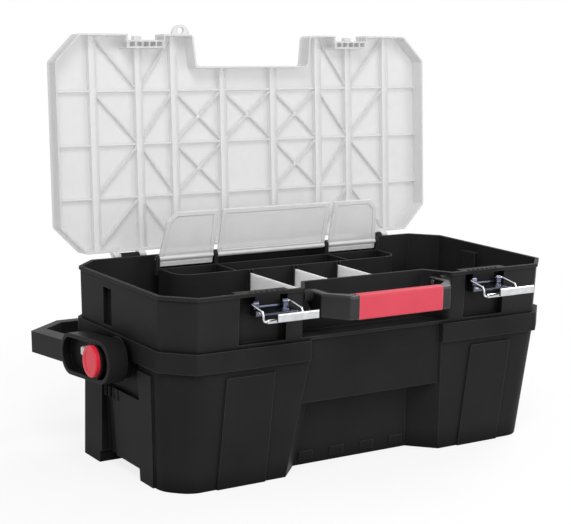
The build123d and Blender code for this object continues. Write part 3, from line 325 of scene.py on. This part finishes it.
dress(glossy_red(), "lock_button_left", "lock_button_right")
for side in ("left", "right"):
    leaf = bpy.data.objects.new("leaf_spring_" + side, nodes["button_spring_" + side].data.copy())
    scene.collection.objects.link(leaf)
    leaf.data.materials.clear()
    leaf.data.materials.append(zinc)
    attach(leaf, "carry_handle")
    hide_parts("button_spring_" + side)
    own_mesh(leaf)


# Organiser case: lifts out of the bin, from the same black plastic. Its three-compartment rear bin is a
# separate moulding that sits on the case's shoulder. A row of small teeth on the rim meets each latch.
def lying_bar(wire, radius, length):
    """A bar that lies from front to back."""
    return wire.node("GeometryNodeTransform", {}, {"Geometry": round_bar(wire, radius, length),
                                                   "Rotation": (math.pi / 2, 0.0, 0.0)})


case_black = moulded_black("case_black", tone=0.0205, roughness=0.42, edge_radius=0.0016, edge_highlight_tone=0.1,
                           sheen=0.03)
dress(case_black, "upper_case", "rear_bin")
latch_middle = 0.17202
rim_face = -0.1429
rim_top = 0.25
tooth_count = 7
tooth_step = 0.0078
tooth_start = -latch_middle - tooth_step * (tooth_count - 1) / 2
tooth_rows = paired_rows("rim_tooth_rows", lying_bar)
grow("rim_teeth", tooth_rows, "upper_case", "black_plastic", Count=tooth_count,
     First=(tooth_start, rim_face, rim_top), Step=(tooth_step, 0.0, 0.0),
     Across=(2 * latch_middle, 0.0, 0.0), Radius=0.0014, Length=0.004, Finish=case_black)
dress(zinc, "flap_hinge_rod", "lid_hinge_pins", "front_handle_pins")


# Flaps: three frosted covers on one rod, clear polypropylene with a raised border, which shows paler
# because it is thicker.
def frosted(name, clear, milky, rim, alpha, edge_alpha, roughness):
    """Frosted clear plastic: cloudy, and denser along its edges, which have a tint of their own."""
    material, shader, wire, place = start_finish(name)
    soft = rounded(wire, 0.0012)
    edge = along_edges(wire, soft)
    clouds = grain(wire, place, size=0.05, detail=4.0)
    fine = grain(wire, place, size=0.0009)
    opacity = alpha + (edge_alpha - alpha) * edge + 0.1 * clouds
    feed(shader, Base_Color=blend(wire, 0.8 * edge, blend(wire, clouds, clear, milky), rim),
         Roughness=roughness + 0.1 * clouds, Alpha=wire.node("ShaderNodeClamp", {}, {"Value": opacity}),
         Normal=bumped(wire, fine, strength=0.15, distance=0.0002, normal=soft))
    return material


flap_clear = frosted("flap_clear", clear=grey(0.82), milky=grey(0.90), rim=grey(0.94), alpha=0.62,
                     edge_alpha=0.88, roughness=0.34)
dress(flap_clear, "flap_left", "flap_middle", "flap_right")

# Dividers: three pale grey plates that slide into ribs between the rear bin and the front notch. Each is a
# plain satin moulding.
divider_grey = pale_nylon("divider_grey", dark=grey(0.91), bright=grey(0.97))
dress(divider_grey, "divider_left", "divider_middle", "divider_right")

# Lid: one large frosted moulding, stiffened inside by broad ribs and crossed braces, with combs where the
# latches hook over and a padlock eye. It turns on two steel pins behind the case.
lid_clear = frosted("lid_clear", clear=grey(0.64), milky=grey(0.74), rim=grey(0.74), alpha=0.5,
                    edge_alpha=0.72, roughness=0.36)
dress(lid_clear, "lid")


# Front handle: a deep black band bent into a U and pinned in the case's notch, with a red sleeve of soft
# rubber over its bar.
def soft_red():
    material, shader, wire, place = start_finish("grip_red")
    soft = rounded(wire, 0.0018)
    edge = along_edges(wire, soft)
    clouds = grain(wire, place, size=0.03, detail=4.0)
    fine = grain(wire, place, size=0.0008)
    flat = blend(wire, clouds, (0.50, 0.03, 0.055, 1.0), (0.60, 0.045, 0.075, 1.0))
    # Painted highlight: the grip is coloured paler red along its edges.
    feed(shader, Base_Color=blend(wire, 0.7 * edge, flat, (0.88, 0.26, 0.30, 1.0)),
         Roughness=0.48 + 0.12 * clouds,
         Normal=bumped(wire, fine, strength=0.25, distance=0.0003, normal=soft))
    settle(shader, Specular_IOR_Level=0.35)
    return material


# The handle's pale edge tone is a strong painted highlight along its edges.
handle_black = moulded_black("handle_black", tone=0.008, roughness=0.28, edge_radius=0.003, edge_highlight_tone=0.16,
                             sheen=0.35)
dress(handle_black, "front_handle")
dress(soft_red(), "front_handle_grip")


# Draw latches: a plated bracket riveted to a block on the case, with an apron under its eyes, a bent wire
# link that turns in them, and a lever pressed from plated sheet. The rivets have low domed heads.
def domed_rivet(wire, radius, length):
    """A flattened head at the front, on a stem that is sunk behind it."""
    flatness = 0.42
    stem_share = 0.55
    stem_sunk = 0.003
    ball = wire.node("GeometryNodeMeshUVSphere", {}, {"Segments": 24, "Rings": 12, "Radius": radius})
    dome = wire.node("GeometryNodeTransform", {}, {"Geometry": ball, "Scale": (1.0, flatness, 1.0)})
    smooth = wire.node("GeometryNodeSetShadeSmooth", {}, {"Geometry": dome})
    stem = wire.node("GeometryNodeTransform", {}, {"Geometry": lying_bar(wire, stem_share * radius, length),
                                                   "Translation": (0.0, stem_sunk, 0.0)})
    return wire.node("GeometryNodeJoinGeometry", {}, {"Geometry": [smooth, stem]})


chrome = plated_steel("chrome", dark=(0.52, 0.53, 0.55, 1.0), bright=(0.72, 0.73, 0.75, 1.0), roughness=0.15)
dress(chrome, "latch_link_left", "latch_link_right", "latch_lever_left", "latch_lever_right")
# The bracket's plating is a dark finish, darkened further as painted shade for the shaded channel it sits
# in.
dark_plate_and_shade = plated_steel("dark_plate_and_shade", dark=(0.09, 0.10, 0.14, 1.0), bright=(0.17, 0.18, 0.23, 1.0),
                          roughness=0.15)
dress(dark_plate_and_shade, "latch_bracket_left", "latch_bracket_right")
rivet_low, rivet_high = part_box("latch_rivets")
rivet_half = 0.011
bracket_face = -0.1465
rivet_rows = paired_rows("rivet_rows", domed_rivet)
rivets = grow("rivets", rivet_rows, "upper_case", "zinc_steel", Count=2,
              First=(-latch_middle - rivet_half, bracket_face, (rivet_low[2] + rivet_high[2]) / 2),
              Step=(2 * rivet_half, 0.0, 0.0), Across=(2 * latch_middle, 0.0, 0.0), Radius=0.0036,
              Length=0.006, Finish=zinc)
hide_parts("latch_rivets")


# Floor: a pale sheet that fades to white round the box. The camera, reflections and clear plastic see it
# white, and it keeps the box's soft shadow.
def shows_white(wire):
    """A mask that is 1 for what the camera, a reflection or clear plastic sees."""
    seen = wire.node("ShaderNodeLightPath", {}, {}, "Is Camera Ray")
    mirrored = wire.node("ShaderNodeLightPath", {}, {}, "Is Glossy Ray")
    through = wire.node("ShaderNodeLightPath", {}, {}, "Is Transmission Ray")
    return wire.node("ShaderNodeClamp", {}, {"Value": seen + mirrored + through})


floor_size = 40.0
fade_start = 0.35
fade_end = 0.85
least_white = 0.82
bpy.ops.mesh.primitive_plane_add(size=floor_size)
floor = bpy.context.object
floor.name = "floor"
floor_white, floor_shader, floor_wire, spot = start_finish("floor_white")
settle(floor_shader, Base_Color=grey(0.88), Roughness=0.9, Specular_IOR_Level=0.1)
glow = floor_wire.node("ShaderNodeEmission", {}, {"Color": grey(1.0), "Strength": 1.0})
away = floor_wire.node("ShaderNodeVectorMath", {"operation": "LENGTH"}, {0: spot}, "Value")
fade = floor_wire.node("ShaderNodeMapRange", {"interpolation_type": "SMOOTHSTEP"},
                       {"Value": away, "From Min": fade_start, "From Max": fade_end,
                        "To Min": least_white, "To Max": 1.0})
shaded = Wire(floor_wire.tree, floor_shader.outputs[0])
white_share = fade * shows_white(floor_wire)
floor_mix = floor_wire.node("ShaderNodeMixShader", {}, {0: white_share, 1: shaded, 2: glow})
floor_wire.tree.links.new(floor_mix.socket, floor_wire.tree.nodes["Material Output"].inputs["Surface"])
floor.data.materials.append(floor_white)

# Studio walls: white where they are seen, also in the plated steel and through the clear plastic. They give
# the box only a part of that as light from all round.
ambient = 0.42
scene.world = bpy.data.worlds.new("studio")
scene.world.use_nodes = True
walls = scene.world.node_tree.nodes["Background"]
walls_wire = Wire(scene.world.node_tree)
settle(walls, Color=grey(1.0))
feed(walls, Strength=ambient + (1.0 - ambient) * shows_white(walls_wire))


# Lights: one broad soft box over the front left, a smaller one behind on the right, and a low one in front
# on the right, whose sheen lifts the front faces above the sides.
def soft_box(name, place, aim, size, watts):
    lamp = bpy.data.lights.new(name, "AREA")
    lamp.shape = "DISK"
    lamp.size = size
    lamp.energy = watts
    made = bpy.data.objects.new(name, lamp)
    scene.collection.objects.link(made)
    made.location = place
    made.rotation_mode = "QUATERNION"
    made.rotation_quaternion = (Vector(aim) - Vector(place)).to_track_quat("-Z", "Y")


soft_box("key", place=(-1.05, -1.75, 2.4), aim=(0.0, 0.0, 0.2), size=1.6, watts=53.0)
soft_box("rim", place=(1.8, 0.6, 2.0), aim=(0.0, 0.0, 0.3), size=1.2, watts=30.0)
soft_box("fill", place=(1.3, -2.2, 0.6), aim=(0.0, 0.0, 0.2), size=1.8, watts=24.0)

# Camera: at the photograph's place, which was worked out from the box's corners. It stands about 2 m off,
# to the left of the front and level with the top of the open lid, and is rolled by a degree and a half.
camera_data = bpy.data.cameras.new("camera")
camera_data.sensor_width = 36.0
camera_data.lens = 91.05
camera = bpy.data.objects.new("camera", camera_data)
scene.collection.objects.link(camera)
azimuth = math.radians(33.38)
elevation = math.radians(10.23)
roll = math.radians(1.45)
behind = Vector((-math.sin(azimuth) * math.cos(elevation), -math.cos(azimuth) * math.cos(elevation),
                 math.sin(elevation)))
camera.location = (-1.1036, -1.5959, 0.5985)
camera.rotation_mode = "QUATERNION"
camera.rotation_quaternion = (-behind).to_track_quat("-Z", "Y") @ Quaternion((0.0, 0.0, 1.0), roll)
scene.camera = camera
scene.view_settings.view_transform = "Standard"
